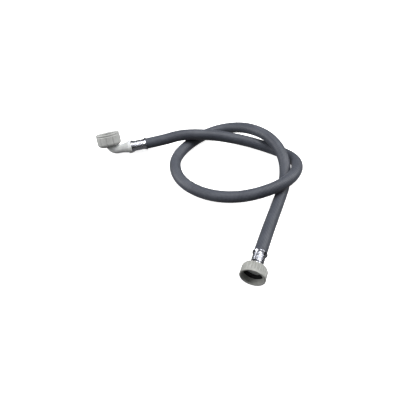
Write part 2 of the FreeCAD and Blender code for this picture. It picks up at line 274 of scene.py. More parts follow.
@dataclass(frozen=True)
class ChromedSteel(Finish):
    """Chrome-plated steel, drawn to a cup and then crimped.

    The eye sees a bright mirror with a faint haze in patches, which is where the die has
    rubbed it, and hair-fine draw lines.
    """

    name: str = "chromed_crimped_steel"
    colour: str = "c3c5cf"
    smooth: float = 0.12
    hazed: float = 0.3
    haze: float = 4.0  # mm
    draw: float = 0.4  # mm; coarser than real draw lines, so that they show

    def dress(self, tree: Tree, shader: Node) -> None:
        """Haze the mirror in patches and ripple it with draw lines.

        Args:
            tree: the material's node tree.
            shader: its Principled shader.
        """
        place = add_node(tree, "TexCoord").outputs["Object"]
        haze = add_node(tree, "TexNoise",
                        {"Scale": 1 / (self.haze * MM), "Detail": 4.0, "Roughness": 0.6},
                        {"Vector": place})
        draw = add_node(tree, "TexNoise",
                        {"Scale": 1 / (self.draw * MM), "Detail": 2.0}, {"Vector": place})
        gloss = add_node(tree, "MapRange",
                         {"From Min": 0.38, "From Max": 0.72, "To Min": self.smooth,
                          "To Max": self.hazed}, {"Value": haze.outputs["Fac"]})
        bump = add_node(tree, "Bump", {"Strength": 0.15, "Distance": 0.03 * MM},
                        {"Height": draw.outputs["Fac"]})
        set_node(tree, shader, {"Base Color": linear(self.colour), "Metallic": 1.0},
                 {"Roughness": gloss.outputs[0], "Normal": bump.outputs[0]})


@dataclass(frozen=True)
class DullRubber(Finish):
    """Moulded or extruded sealing rubber: matt and near black, with a bloom of talc."""

    name: str
    base: str
    talc: str
    grain: float = 2.4  # mm

    def dress(self, tree: Tree, shader: Node) -> None:
        """Dust the base colour with a noise and grain the surface with the same noise.

        Args:
            tree: the material's node tree.
            shader: its Principled shader.
        """
        place = add_node(tree, "TexCoord").outputs["Object"]
        dust = add_node(tree, "TexNoise",
                        {"Scale": 1 / (self.grain * MM), "Detail": 5.0, "Roughness": 0.65},
                        {"Vector": place})
        colour = add_node(tree, "ValToRGB",
                          {"stops": [(0.45, linear(self.base)), (0.8, linear(self.talc))]},
                          {0: dust.outputs["Fac"]})
        bump = add_node(tree, "Bump", {"Strength": 0.3, "Distance": 0.03 * MM},
                        {"Height": dust.outputs["Fac"]})
        set_node(tree, shader, {"Roughness": 0.7, "IOR": 1.52},
                 {"Base Color": colour.outputs["Color"], "Normal": bump.outputs[0]})


@dataclass(frozen=True)
class BraidedPolyester(Finish):
    """Polyester yarn braided over the inner tube: off-white, in diagonal strands."""

    name: str = "braided_polyester_yarn"
    gap: str = "77756e"
    strand: str = "bdbab0"
    strands_round: int = 24

    def dress(self, tree: Tree, shader: Node) -> None:
        """Lay one diagonal sine wave round the wall; the strands that cross it are left out.

        Args:
            tree: the material's node tree.
            shader: its Principled shader.
        """
        wave = slanted_wave(tree, "ADD", self.strands_round)
        lifted = add_node(tree, "Math", {"operation": "MULTIPLY_ADD", 1: 0.5, 2: 0.5}, {0: wave})
        colour = add_node(tree, "ValToRGB",
                          {"stops": [(0.1, linear(self.gap)), (0.5, linear(self.strand))]},
                          {0: lifted.outputs[0]})
        set_node(tree, shader, {"Roughness": 0.8, "Sheen Weight": 0.3},
                 {"Base Color": colour.outputs["Color"]})


@dataclass(frozen=True)
class PaperSweep(Finish):
    """White background paper: matt, hardly mottled, and lit from within.

    The glow keeps shadows on it faint.
    """

    name: str = "white_paper_sweep"
    shade: str = "f4f4f4"
    light: float = 0.93
    glow: float = 0.85

    def dress(self, tree: Tree, shader: Node) -> None:
        """Mottle the paper between its two tones and make it glow.

        Args:
            tree: the material's node tree.
            shader: its Principled shader.
        """
        place = add_node(tree, "TexCoord").outputs["Object"]
        mottle = add_node(tree, "TexNoise", {"Scale": 3.0, "Detail": 2.0}, {"Vector": place})
        colour = add_node(tree, "ValToRGB",
                          {"stops": [(0.3, linear(self.shade)), (0.7, grey(self.light))]},
                          {0: mottle.outputs["Fac"]})
        set_node(tree, shader,
                 {"Roughness": 0.9, "Specular IOR Level": 0.1, "Emission Color": grey(1.0),
                  "Emission Strength": self.glow}, {"Base Color": colour.outputs["Color"]})


# ------------------------------------------------------------------ axes that outlines turn on
@dataclass(frozen=True)
class Axis:
    """A straight axis: an origin in metres, its direction z, and x and y across it."""

    origin: Array
    x: Array
    y: Array
    z: Array

    @classmethod
    def along(cls, origin_mm: tuple, z: tuple, near_x: tuple) -> "Axis":
        """Make an axis from its direction and a rough direction across it.

        Args:
            origin_mm: the origin, in millimetres.
            z: the direction, of any length.
            near_x: the direction that x lies as close to as it can.

        Returns:
            The axis.
        """
        forward = np.array(z, dtype=float)
        forward = forward / np.linalg.norm(forward)
        across = np.array(near_x, dtype=float)
        across = across - forward * np.dot(across, forward)
        across = across / np.linalg.norm(across)
        return cls(np.array(origin_mm, dtype=float) * MM, across,
                   np.cross(forward, across), forward)

    def place(self, radius: Array, height: Array, angle: Array) -> Array:
        """Return origin + r cos(a) x + r sin(a) y + h z.

        Args:
            radius: r, in millimetres.
            height: h, in millimetres.
            angle: a, in radians.

        Returns:
            Points in metres, with one more dimension than the inputs.
        """
        across = (radius * np.cos(angle))[..., None] * self.x
        across = across + (radius * np.sin(angle))[..., None] * self.y
        return self.origin + (across + height[..., None] * self.z) * MM


@dataclass(frozen=True)
class ElbowAxis:
    """An axis that runs straight, turns a right angle and runs straight again.

    It starts on the sealing face and goes into the elbow, against the union axis.
    """

    union: Axis
    outlet: Array
    lead: float
    bend: float

    def place(self, radius: Array, height: Array, angle: Array) -> Array:
        """Return c(h) + r cos(a) n(h) + r sin(a) b.

        With f = (h - lead) / bend kept between 0 and a right angle, the direction is
        t = i cos f + o sin f, and the inward side is n = o cos f - i sin f, where i points into
        the elbow and o out of it.  The line is c = origin + i (min(h, lead) + bend sin f)
        + o (bend (1 - cos f) + what is left of h).

        Args:
            radius: r, in millimetres.
            height: h, the distance along the axis, in millimetres.
            angle: a, in radians.

        Returns:
            Points in metres, with one more dimension than the inputs.
        """
        into = -self.union.z
        side = np.cross(into, self.outlet)
        turned = np.clip((height - self.lead) / self.bend, 0, math.pi / 2)
        rest = np.maximum(height - self.lead - self.bend * math.pi / 2, 0)
        inward = np.cos(turned)[..., None] * self.outlet - np.sin(turned)[..., None] * into
        along = np.minimum(height, self.lead) + self.bend * np.sin(turned)
        out = self.bend * (1 - np.cos(turned)) + rest
        line = along[..., None] * into + out[..., None] * self.outlet
        across = (radius * np.cos(angle))[..., None] * inward
        across = across + (radius * np.sin(angle))[..., None] * side
        return self.union.origin + (line + across) * MM


# ------------------------------------------------------------------ outlines and surfaces
def smooth_step(low: float, high: float, value: Array) -> Array:
    """Return 0 below low, 1 above high and 3 t^2 - 2 t^3 between them."""
    share = np.clip((value - low) / (high - low), 0, 1)
    return share * share * (3 - 2 * share)


def hump(middle: float, width: float, value: Array) -> Array:
    """Return exp(-((value - middle) / width)^2)."""
    return np.exp(-((value - middle) / width) ** 2)


def rounded(corners: list[Corner], steps: int = 4) -> Array:
    """Round the corners of a closed outline.

    A corner p with a rounding q becomes (1-t)^2 a + 2 t (1-t) p + t^2 b, where a and b lie on
    its two sides at q / tan(half the corner's angle) from p, or at 0.45 of a shorter side.

    Args:
        corners: (radius, height, rounding) of each corner, in order.
        steps: how many chords each rounding has.

    Returns:
        The outline as rows of (radius, height).
    """
    places = np.array([(r, z) for r, z, _ in corners])
    rows = []
    for index, (_, _, rounding) in enumerate(corners):
        here = places[index]
        back = places[index - 1] - here
        ahead = places[(index + 1) % len(places)] - here
        back_length, ahead_length = np.linalg.norm(back), np.linalg.norm(ahead)
        back, ahead = back / back_length, ahead / ahead_length
        angle = math.acos(float(np.clip(np.dot(back, ahead), -1, 1)))
        if rounding <= 0 or angle > math.pi - 0.02:
            rows.append(here[None, :])
            continue
        reach = min(rounding / math.tan(angle / 2), 0.45 * back_length, 0.45 * ahead_length)
        share = np.linspace(0, 1, steps + 1)[:, None]
        start, end = here + back * reach, here + ahead * reach
        rows.append((1 - share) ** 2 * start + 2 * share * (1 - share) * here + share ** 2 * end)
    return np.concatenate(rows)


def divided(outline: Array, longest: float) -> Array:
    """Divide the sides of a closed outline.

    Args:
        outline: rows of (radius, height).
        longest: the longest side allowed, in the same units.

    Returns:
        The outline with more rows.
    """
    parts = []
    for start, end in zip(outline, np.roll(outline, -1, axis=0)):
        count = max(1, math.ceil(np.linalg.norm(end - start) / longest))
        parts.append(start + (end - start) * (np.arange(count)[:, None] / count))
    return np.concatenate(parts)


def ring_grid(rows: int, columns: int) -> Array:
    """Number the quads of a grid that closes on itself both ways.

    Args:
        rows: how many rings there are.
        columns: how many vertices a ring has.

    Returns:
        One row of four vertex numbers per quad.
    """
    row = np.arange(rows)[:, None]
    column = np.arange(columns)[None, :]
    after = (row + 1) % rows
    beside = (column + 1) % columns
    corners = [row * columns + column, row * columns + beside,
               after * columns + beside, after * columns + column]
    return np.stack(np.broadcast_arrays(*corners), axis=-1).reshape(-1, 4)


def enclosed(points: Array, quads: Array) -> float:
    """Return the volume inside a closed surface, the sum of a . (b x c) / 6 over its triangles."""
    a, b, c, d = (points[quads[:, k]] for k in range(4))
    return float(np.sum(a * np.cross(b, c)) + np.sum(a * np.cross(c, d))) / 6


def surface(name: str, grid: Array, finish: Material, uv: Array | None = None) -> Object:
    """Make a smooth closed piece from a grid that closes on itself both ways.

    Faces are turned over where the enclosed volume comes out negative, so they point outwards.

    Args:
        name: the piece's name.
        grid: rows x columns x 3, in metres.
        finish: its material.
        uv: rows x columns x 4 corners x 2, or None.

    Returns:
        The new object, at the origin.
    """
    points = grid.reshape(-1, 3)
    quads = ring_grid(grid.shape[0], grid.shape[1])
    wall = None if uv is None else uv.reshape(-1, 4, 2)
    if enclosed(points, quads) < 0:
        quads = quads[:, ::-1]
        wall = None if wall is None else wall[:, ::-1]
    mesh = bpy.data.meshes.new(name)
    mesh.vertices.add(len(points))
    mesh.vertices.foreach_set("co", points.astype(np.float32).ravel())
    mesh.loops.add(quads.size)
    mesh.loops.foreach_set("vertex_index", quads.astype(np.int32).ravel())
    mesh.polygons.add(len(quads))
    mesh.polygons.foreach_set("loop_start", np.arange(0, quads.size, 4, dtype=np.int32))
    mesh.polygons.foreach_set("use_smooth", np.ones(len(quads), dtype=bool))
    if wall is not None:
        layer = mesh.uv_layers.new(name="wall")
        layer.data.foreach_set("uv", wall.astype(np.float32).ravel())
    mesh.update(calc_edges=True)
    mesh.materials.append(finish)
    piece = bpy.data.objects.new(name, mesh)
    bpy.context.collection.objects.link(piece)
    return piece


def turned(name: str, outline: Array, around: int, axis: Axis | ElbowAxis,
           finish: Material, shape: Shape | None = None) -> Object:
    """Make a closed piece by turning a closed outline about an axis.

    Args:
        name: the piece's name.
        outline: rows of (radius, height), in millimetres.
        around: how many steps there are in a turn.
        axis: what it turns about.
        finish: its material.
        shape: changes the arrays of radius, height and angle, and returns radius and height.

    Returns:
        The new object.
    """
    angle = np.linspace(0, 2 * math.pi, around, endpoint=False)[None, :]
    angle = np.repeat(angle, len(outline), axis=0)
    radius = np.repeat(outline[:, 0:1], around, axis=1)
    height = np.repeat(outline[:, 1:2], around, axis=1)
    if shape is not None:
        radius, height = shape(radius, height, angle)
    return surface(name, axis.place(radius, height, angle), finish)


def settle(piece: Object, body: Body, slot: str, *nodes: str) -> None:
    """Put a piece on its body and say which nodes it stands for.

    Args:
        piece: the piece.
        body: the body that it rides on.
        slot: not used.
        *nodes: the CAD nodes that it replaces.
    """
    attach(piece, body.value)
    if nodes:
        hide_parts(*nodes)
    faces = len(piece.data.polygons)
    LOG.info("%s: %d faces, on %s, for %s", piece.name, faces, body.value, ", ".join(nodes))


# ------------------------------------------------------------------ camera, floor and lights
@dataclass
class Studio:
    """A pale floor, soft lights over it and the camera."""

    aim: tuple[float, float, float] = (32.9, 13.0, 0.0)
    azimuth: float = 20.0
    elevation: float = 48.0
    distance: float = 543.0
    lens: float = 36.99
    sensor: float = 36.0
    floor_r: float = 2000.0
    sweep_r: float = 1000.0
    wall_height: float = 4000.0
    sweep_steps: int = 12
    floor_around: int = 96
    sky_strength: float = 0.5
    sky_tones: tuple = ((0.0, 0.3), (0.44, 0.25), (0.5, 0.03), (0.7, 0.05), (0.8, 0.85),
                        (0.92, 0.6), (1.0, 0.35))
    # the name, place in metres, side in metres and power in watts of each lamp
    lamps: tuple = (("overhead", (0.2, 0.3, 1.5), 0.8, 14.0),
                    ("back_right", (1.1, 0.9, 1.0), 0.9, 15.0),
                    ("front_left", (-1.1, -0.45, 0.6), 0.8, 14.0))

    def camera(self) -> None:
        """Make the camera, looking down at the aim from the right of straight ahead."""
        data = bpy.data.cameras.new("camera")
        data.lens = self.lens
        data.sensor_width = self.sensor
        data.clip_start = 0.01
        data.clip_end = 50.0
        eye = bpy.data.objects.new("camera", data)
        turn, rise = math.radians(self.azimuth), math.radians(self.elevation)
        back = Vector((math.sin(turn) * math.cos(rise), -math.cos(turn) * math.cos(rise),
                       math.sin(rise)))
        eye.location = (Vector(self.aim) + back * self.distance) * MM
        eye.rotation_euler = back.to_track_quat("Z", "Y").to_euler()
        bpy.context.collection.objects.link(eye)
        bpy.context.scene.camera = eye

    def floor(self) -> None:
        """Lay a pale floor whose rim sweeps up into a wall all round.

        The outline is flat out to floor_r, then r = floor_r + c sin(t) and z = c (1 - cos(t))
        for a quarter turn, with c the sweep_r, and then straight up.
        """
        bend = np.linspace(0, math.pi / 2, self.sweep_steps)
        radius = np.append(self.floor_r + self.sweep_r * np.sin(bend), self.floor_r + self.sweep_r)
        height = np.append(self.sweep_r * (1 - np.cos(bend)), self.wall_height)[:, None] * MM
        angle = np.linspace(0, 2 * math.pi, self.floor_around, endpoint=False)
        across = radius[:, None] * MM
        grid = np.stack(np.broadcast_arrays(across * np.cos(angle), across * np.sin(angle), height),
                        axis=-1)
        quads = ring_grid(len(radius), self.floor_around)[:-self.floor_around]
        faces = quads.tolist() + [list(range(self.floor_around))]
        mesh = bpy.data.meshes.new("floor")
        mesh.from_pydata(grid.reshape(-1, 3).tolist(), [], faces)
        mesh.materials.append(PaperSweep().build())
        sheet = bpy.data.objects.new("floor", mesh)
        # the camera sees it with the shadows on it, but it neither lights the hose nor shows in
        # the chrome, and its wall shades nothing
        sheet.visible_diffuse = sheet.visible_glossy = sheet.visible_shadow = False
        bpy.context.collection.objects.link(sheet)

    def lamp(self, name: str, place: tuple, size: float, power: float) -> None:
        """Hang one square soft light that faces the aim.

        Args:
            name: the light's name.
            place: where it hangs, in metres.
            size: its side, in metres.
            power: its power, in watts.
        """
        data = bpy.data.lights.new(name, "AREA")
        data.shape = "SQUARE"
        data.size = size
        data.energy = power
        lamp = bpy.data.objects.new(name, data)
        lamp.location = place
        toward = Vector(place) - Vector(self.aim) * MM
        lamp.rotation_euler = toward.to_track_quat("Z", "Y").to_euler()
        bpy.context.collection.objects.link(lamp)

    def sky(self) -> None:
        """Surround the scene with a sky: pale overhead, dark low down and grey below the floor.

        The tone goes by (z + 1) / 2, where z is how steeply a direction rises, from -1 to 1.
        The dark low band gives the chrome its dark edges.
        """
        world = bpy.data.worlds.new("studio")
        world.use_nodes = True
        tree = world.node_tree
        way = add_node(tree, "TexCoord").outputs["Generated"]
        part = add_node(tree, "SeparateXYZ", links={0: way}).outputs
        rise = add_node(tree, "Math", {"operation": "MULTIPLY_ADD", 1: 0.5, 2: 0.5},
                        {0: part["Z"]})
        stops = [(height, grey(tone)) for height, tone in self.sky_tones]
        tone = add_node(tree, "ValToRGB", {"stops": stops}, {0: rise.outputs[0]})
        set_node(tree, tree.nodes["Background"], {"Strength": self.sky_strength},
                 {"Color": tone.outputs["Color"]})
        bpy.context.scene.world = world

    def lights(self) -> None:
        """Light the scene from the sky and from soft boxes overhead, behind and in front."""
        self.sky()
        for lamp in self.lamps:
            self.lamp(*lamp)
        bpy.context.scene.view_settings.view_transform = "Standard"

    def build(self) -> None:
        """Make the floor and the lights."""
        self.floor()
        self.lights()


# ------------------------------------------------------------------ hose
@dataclass
class Crimp:
    """How a ferrule squeezes the hose: a waist between a front bead and a rear lip."""

    length: float
    start: float = -0.7
    squeeze: float = 0.85
    fall: tuple = (1.0, 3.6)  # from the hose's cut end
    rise: tuple = (5.0, 1.4)  # before the ferrule's end

    @property
    def end(self) -> float:
        """Return where the ferrule ends, from the hose's cut end."""
        return self.start + self.length

    def waist(self, height: Array) -> Array:
        """Return how far the hose's outside is pressed in, at a height from its cut end."""
        fall = smooth_step(*self.fall, height)
        rise = smooth_step(self.end - self.rise[0], self.end - self.rise[1], height)
        return self.squeeze * (fall - rise)


@dataclass
class SupplyHose:
    """The hose: a cover, a braid and an inner tube that all follow one smooth line."""

    outer_r: float = 7.75
    cover_in_r: float = 6.85
    braid_out_r: float = 6.83
    braid_in_r: float = 6.23
    tube_out_r: float = 6.21
    bore_r: float = 5.0
    elbow_crimp: Crimp = field(default_factory=lambda: Crimp(22.0))
    straight_crimp: Crimp = field(default_factory=lambda: Crimp(19.0))
    steps_per_point: int = 28
    around: int = 56
    route: tuple = (
        (-0.09294, 0.07002, 0.00991), (-0.05599, 0.0891, 0.01575), (-0.0275, 0.103, 0.0252),
        (0.011, 0.120, 0.0225), (0.056, 0.135, 0.0135), (0.101, 0.137, 0.00775),
        (0.136, 0.123, 0.0123), (0.1452, 0.087, 0.0226), (0.130, 0.0485, 0.026),
        (0.087, 0.0225, 0.0145), (0.0405, 0.0165, 0.00775), (-0.001, 0.028, 0.00775),
        (-0.0235, 0.0575, 0.0095), (-0.0225, 0.094, 0.00775), (-0.006, 0.132, 0.00775),
        (0.021, 0.153, 0.013), (0.057, 0.154, 0.0235), (0.095, 0.1385, 0.0275),
        (0.122, 0.112, 0.0195), (0.1325, 0.076, 0.00775), (0.1315, 0.033, 0.00775),
        (0.12975, -0.024, 0.015), (0.12975, -0.071, 0.015),
    )
    line: Array = field(init=False)

    def trace(self) -> None:
        """Read the hose's line from a NURBS spline through its route."""
        curve = bpy.data.curves.new("hose_route", "CURVE")
        curve.dimensions = "3D"
        curve.resolution_u = self.steps_per_point
        spline = curve.splines.new("NURBS")
        spline.points.add(len(self.route) - 1)
        spline.points.foreach_set("co", [c for p in self.route for c in (*p, 1.0)])
        spline.order_u = 3
        spline.use_endpoint_u = True
        holder = bpy.data.objects.new("hose_route", curve)
        bpy.context.collection.objects.link(holder)
        mesh = bpy.data.meshes.new_from_object(holder)
        line = np.empty(len(mesh.vertices) * 3, dtype=np.float32)
        mesh.vertices.foreach_get("co", line)
        self.line = line.reshape(-1, 3).astype(float)
        bpy.data.objects.remove(holder)
        bpy.data.meshes.remove(mesh)
        bpy.data.curves.remove(curve)

    def distances(self) -> Array:
        """Return how far each point of the line is along it, in millimetres."""
        steps = np.linalg.norm(np.diff(self.line, axis=0), axis=1)
        return np.concatenate([[0.0], np.cumsum(steps)]) / MM

    def sides(self) -> tuple[Array, Array]:
        """Return two unit directions across the line at each point.

        The first is the floor's up direction with the part along the line taken away, which
        doesn't twist as the line winds because the line never stands up.
        """
        along = np.gradient(self.line, axis=0)
        along /= np.linalg.norm(along, axis=1, keepdims=True)
        up = np.array([0.0, 0.0, 1.0]) - along * along[:, 2:3]
        up /= np.linalg.norm(up, axis=1, keepdims=True)
        return up, np.cross(along, up)

    def sleeve(self, name: str, outer_r: float, inner_r: float, finish: Material) -> Object:
        """Carry a ring of wall along the line.

        The point at distance s and angle a is line(s) + r(s) (cos(a) up + sin(a) side).  Under
        a ferrule r is pressed towards the bore, each layer by its share of the wall.

        Args:
            name: the piece's name.
            outer_r: the outside radius, in millimetres.
            inner_r: the inside radius, in millimetres.
            finish: its material.

        Returns:
            The new object.
        """
        distance = self.distances()
        press = self.elbow_crimp.waist(distance)
        press = press + self.straight_crimp.waist(distance[-1] - distance)
        wall = self.outer_r - self.bore_r
        angle = np.linspace(0, 2 * math.pi, self.around, endpoint=False)
        up, side = self.sides()
        spokes = (np.cos(angle)[None, :, None] * up[:, None, :]
                  + np.sin(angle)[None, :, None] * side[:, None, :])
        skins, marks = [], []
        for radius, order in ((outer_r, 1), (inner_r, -1)):
            pressed = radius - press * (radius - self.bore_r) / wall
            skin = self.line[:, None, :] + spokes * pressed[:, None, None] * MM
            skins.append(skin[::order])
            marks.append(distance[::order])
        grid = np.concatenate(skins)
        return surface(name, grid, finish, self.wall_marks(np.concatenate(marks)))

    def wall_marks(self, distance: Array) -> Array:
        """Return the wall's own marks: (distance / girth, angle / turn) at each quad corner."""
        girth = 2 * math.pi * self.outer_r
        lengthways = distance / girth
        after = np.roll(lengthways, -1)
        column = np.arange(self.around) / self.around
        beside = column + 1 / self.around
        rows = (lengthways, lengthways, after, after)
        columns = (column, beside, beside, column)
        corners = [np.stack(np.broadcast_arrays(r[:, None], c[None, :]), axis=-1)
                   for r, c in zip(rows, columns)]
        return np.stack(corners, axis=2)

    def build(self, cover: Material, yarn: Material, liner: Material) -> None:
        """Args:
            cover: the outside's material.
            yarn: the braid's material.
            liner: the inner tube's material.
        """
        self.trace()
        outside = self.sleeve("hose_cover_skin", self.outer_r, self.cover_in_r, cover)
        braid = self.sleeve("hose_braid_sleeve", self.braid_out_r, self.braid_in_r, yarn)
        tube = self.sleeve("hose_inner_wall", self.tube_out_r, self.bore_r, liner)
        settle(outside, Body.HOSE, "hose_cover", "hose_cover")
        settle(braid, Body.HOSE, "braid", "hose_braid")
        settle(tube, Body.HOSE, "inner_tube", "hose_inner_tube")
        length = self.distances()[-1] * MM
        LOG.info("hose length %.4f m", length)


# ------------------------------------------------------------------ ferrules
@dataclass
class Ferrule:
    """A crimped cup: a front wall and bead, a ringed waist and a rolled lip over the hose."""

    name: str
    node: str
    axis: Axis
    crimp: Crimp
    hose_r: float = 7.77
    wall: float = 0.5
    neck_r: float = 7.42
    front: float = 0.5
    bead: float = 0.3
    lip: float = 0.62
    roll_width: float = 0.85
    margin: float = 3.6
    ring_pitch: float = 2.0
    ring_depth: float = 0.2
    dimples: int = 26
    dimple_depth: float = 0.24
    around: int = 156

    def inside(self, height: Array) -> Array:
        """Return the inside radius: the pressed hose's, opening at the rolled lip."""
        opening = 0.45 * smooth_step(self.crimp.end - 1.3, self.crimp.end, height)
        return self.hose_r - self.crimp.waist(height) + opening

    def outside(self, height: Array) -> Array:
        """Return the outside radius: the waist with a bead in front and a lip behind."""
        bead = self.bead * hump(self.crimp.start + 1.2, self.roll_width, height)
        lip = self.lip * hump(self.crimp.end - 0.95, self.roll_width, height)
        return self.hose_r + self.wall - self.crimp.waist(height) + bead + lip

    def outline(self) -> Array:
        """Return the closed outline, outside rearwards and then inside forwards."""
        start, end = self.crimp.start, self.crimp.end
        rearward = np.linspace(start + 0.3, end - 0.25, 110)
        outer = np.stack([self.outside(rearward), rearward], axis=1)
        forward = np.linspace(end - 0.25, start + self.front, 60)
        inner = np.stack([self.inside(forward), forward], axis=1)
        roll = np.array([(outer[-1, 0] - 0.12, end - 0.06), (outer[-1, 0] - 0.3, end),
                         (inner[0, 0] + 0.12, end - 0.08)])
        nose = np.array([(self.neck_r, start + self.front), (self.neck_r, start + 0.12),
                         (self.neck_r + 0.12, start), (outer[0, 0] - 0.35, start),
                         (outer[0, 0] - 0.1, start + 0.1)])
        return np.concatenate([outer, roll, inner, nose])

    def marks(self, radius: Array, height: Array, angle: Array) -> tuple[Array, Array]:
        """Press rings and dimples into the waist.

        The outside loses d_r (1 + cos(2 pi h / p)) / 2, and d_d times the same again wherever
        cos(n a) is high.

        Args:
            radius: the radii, in millimetres.
            height: the heights, in millimetres.
            angle: the angles, in radians.

        Returns:
            The new radii, and the heights unchanged.
        """
        low, high = self.crimp.start + self.margin, self.crimp.end - self.margin
        zone = smooth_step(low, low + 1, height) - smooth_step(high - 1, high, height)
        zone = zone * (radius > self.inside(height) + 0.4 * self.wall)
        ring = (1 + np.cos(2 * math.pi * (height - low) / self.ring_pitch)) / 2
        dots = ((1 + np.cos(self.dimples * angle)) / 2) ** 2
        press = self.ring_depth * ring + self.dimple_depth * ring * dots
        return radius - zone * press, height

    def build(self, chrome: Material) -> None:
        """Make the ferrule in chromed steel."""
        piece = turned(self.name, self.outline(), self.around, self.axis, chrome, self.marks)
        settle(piece, Body.HOSE, "ferrule_chrome", self.node)


# ------------------------------------------------------------------ nuts and washers
@dataclass
class UnionNut:
    """A domed union nut with grip flutes outside and a G 3/4 thread inside."""

    name: str
    node: str
    body: Body
    axis: Axis
    outer_r: float
    length: float
    dome: float
    hub_r: float
    hole_r: float
    flutes: int
    band: float
    rear: float = -5.3
    floor: float = -3.5
    relief_rear: float = 0.0
    relief_front: float = 3.1
    relief_r: float = 12.86
    minor_r: float = 12.0585
    thread_depth: float = 1.16
    pitch: float = 1.814
    chamfer: float = 0.5
    rim_round: float = 1.1
    flute_r: float = 1.1
    flute_depth: float = 0.8
    rim_groove: float = 0.0
    rim_groove_drop: float = 2.7
    rim_groove_width: float = 0.65
    around: int = 288

    @property
    def mouth(self) -> float:
        """Return the height of the mouth."""
        return self.rear + self.length

    @property
    def thread_top(self) -> float:
        """Return the height where the thread's lead-in cone begins."""
        return self.mouth - self.chamfer - 0.5

    def shoulder(self) -> Array:
        """Return the dome as (radius, height), a quarter of an ellipse from hub to outside."""
        turn = np.linspace(0, math.pi / 2, 22)
        radius = self.hub_r + (self.outer_r - self.hub_r) * np.sin(turn)
        height = self.rear + self.dome * (1 - np.cos(turn))
        return np.stack([radius, height], axis=1)

    def outline(self) -> Array:
        """Return the closed outline, outside towards the mouth and then inside back."""
        mouth, last = self.mouth, self.relief_front
        shoulder = self.shoulder()
        rest = rounded([
            (self.outer_r, self.rear + self.dome, 0),
            (self.outer_r, mouth, self.rim_round),
            (self.minor_r + self.thread_depth + 0.3, mouth, 0.3),
            (self.minor_r, self.thread_top, 0),
            (self.minor_r, last, 0),
            (self.relief_r, last - 0.01, 0.2),
            (self.relief_r, self.relief_rear, 0.2),
            (self.minor_r, self.relief_rear - 0.01, 0.2),
            (self.minor_r, self.floor, 0.5),
            (self.hole_r, self.floor, 0.4),
            (self.hole_r, self.rear, 0.4),
            (self.hub_r, self.rear, 0),
        ])
        whole = np.concatenate([shoulder[1:-1], rest])
        return self.fine(divided(whole, 0.5))

    def fine(self, outline: Array) -> Array:
        """Divide the threaded part of the bore to a tenth of the pitch."""
        threaded = np.abs(outline[:, 0] - self.minor_r) < 0.02
        threaded &= outline[:, 1] >= self.relief_front
        first = int(np.argmax(threaded))
        last = len(outline) - int(np.argmax(threaded[::-1]))
        top, low = outline[first, 1], outline[last - 1, 1]
        count = math.ceil((top - low) / (self.pitch / 10))
        height = np.linspace(top, low, count)
        bore = np.stack([np.full(count, self.minor_r), height], axis=1)
        return np.concatenate([outline[:first], bore, outline[last:]])

    def cut(self, radius: Array, height: Array, angle: Array) -> tuple[Array, Array]:
        """Cut flutes into the outside and the thread into the bore.

        A flute is a round groove: at x = r (a - middle) it is sqrt(q^2 - x^2) - q + d deep.  A
        ring groove below the rim is a hump of the height.  The thread is a rounded triangle wave
        of height / pitch - a / 2 pi, added to the minor radius.

        Args:
            radius: the radii, in millimetres.
            height: the heights, in millimetres.
            angle: the angles, in radians.

        Returns:
            The new radii, and the heights unchanged.
        """
        step = 2 * math.pi / self.flutes
        across = radius * (np.mod(angle + step / 2, step) - step / 2)
        groove = np.sqrt(np.maximum(self.flute_r ** 2 - across ** 2, 0))
        groove = np.maximum(groove - self.flute_r + self.flute_depth, 0)
        high = self.mouth - self.band
        zone = smooth_step(self.hub_r + 0.3, self.hub_r + 1.2, radius)
        zone = zone * (1 - smooth_step(high - 1.6, high, height))
        outside = (radius > self.relief_r + 0.05) | (height < self.floor - 0.1)
        ring = self.rim_groove * hump(self.mouth - self.rim_groove_drop, self.rim_groove_width,
                                      height)
        radius = radius - (groove * zone + ring) * outside
        wave = 1 - np.abs(2 * np.mod(height / self.pitch - angle / (2 * math.pi), 1) - 1)
        form = smooth_step(0.1, 0.9, wave)
        top = self.thread_top
        zone = smooth_step(self.relief_front, self.relief_front + 0.9, height)
        zone = zone * (1 - smooth_step(top - 0.9, top, height))
        bore = np.abs(radius - self.minor_r) < 0.02
        return radius + form * zone * bore * self.thread_depth, height

    def build(self, plastic: Material) -> None:
        """Make the nut in moulded plastic."""
        piece = turned(self.name, self.outline(), self.around, self.axis, plastic, self.cut)
        settle(piece, self.body, "nut_plastic", self.node)


@dataclass
class SealWasher:
    """A flat rubber washer with softened edges and a slight sag across its face."""

    name: str
    node: str
    body: Body
    axis: Axis
    inner_r: float = 7.5
    outer_r: float = 12.56
    low: float = 0.3
    high: float = 2.8
    edge: float = 0.45
    sag: float = 0.12
    sag_width: float = 1.6
    around: int = 96

    def outline(self) -> Array:
        """Return a rectangle with rounded corners."""
        corners = [(self.inner_r, self.high), (self.outer_r, self.high),
                   (self.outer_r, self.low), (self.inner_r, self.low)]
        return divided(rounded([(r, z, self.edge) for r, z in corners]), 0.6)

    def dish(self, radius: Array, height: Array, angle: Array) -> tuple[Array, Array]:
        """Hollow both faces by the sag half way out, a fifth more or less as they go round."""
        middle = (self.inner_r + self.outer_r) / 2
        hollow = self.sag * hump(middle, self.sag_width, radius) * (1 + 0.2 * np.cos(2 * angle))
        centre = (self.low + self.high) / 2
        return radius, height - np.sign(height - centre) * hollow

    def build(self, rubber: Material) -> None:
        """Make the washer in sealing rubber."""
        piece = turned(self.name, self.outline(), self.around, self.axis, rubber, self.dish)
        settle(piece, self.body, "washer_rubber", self.node)


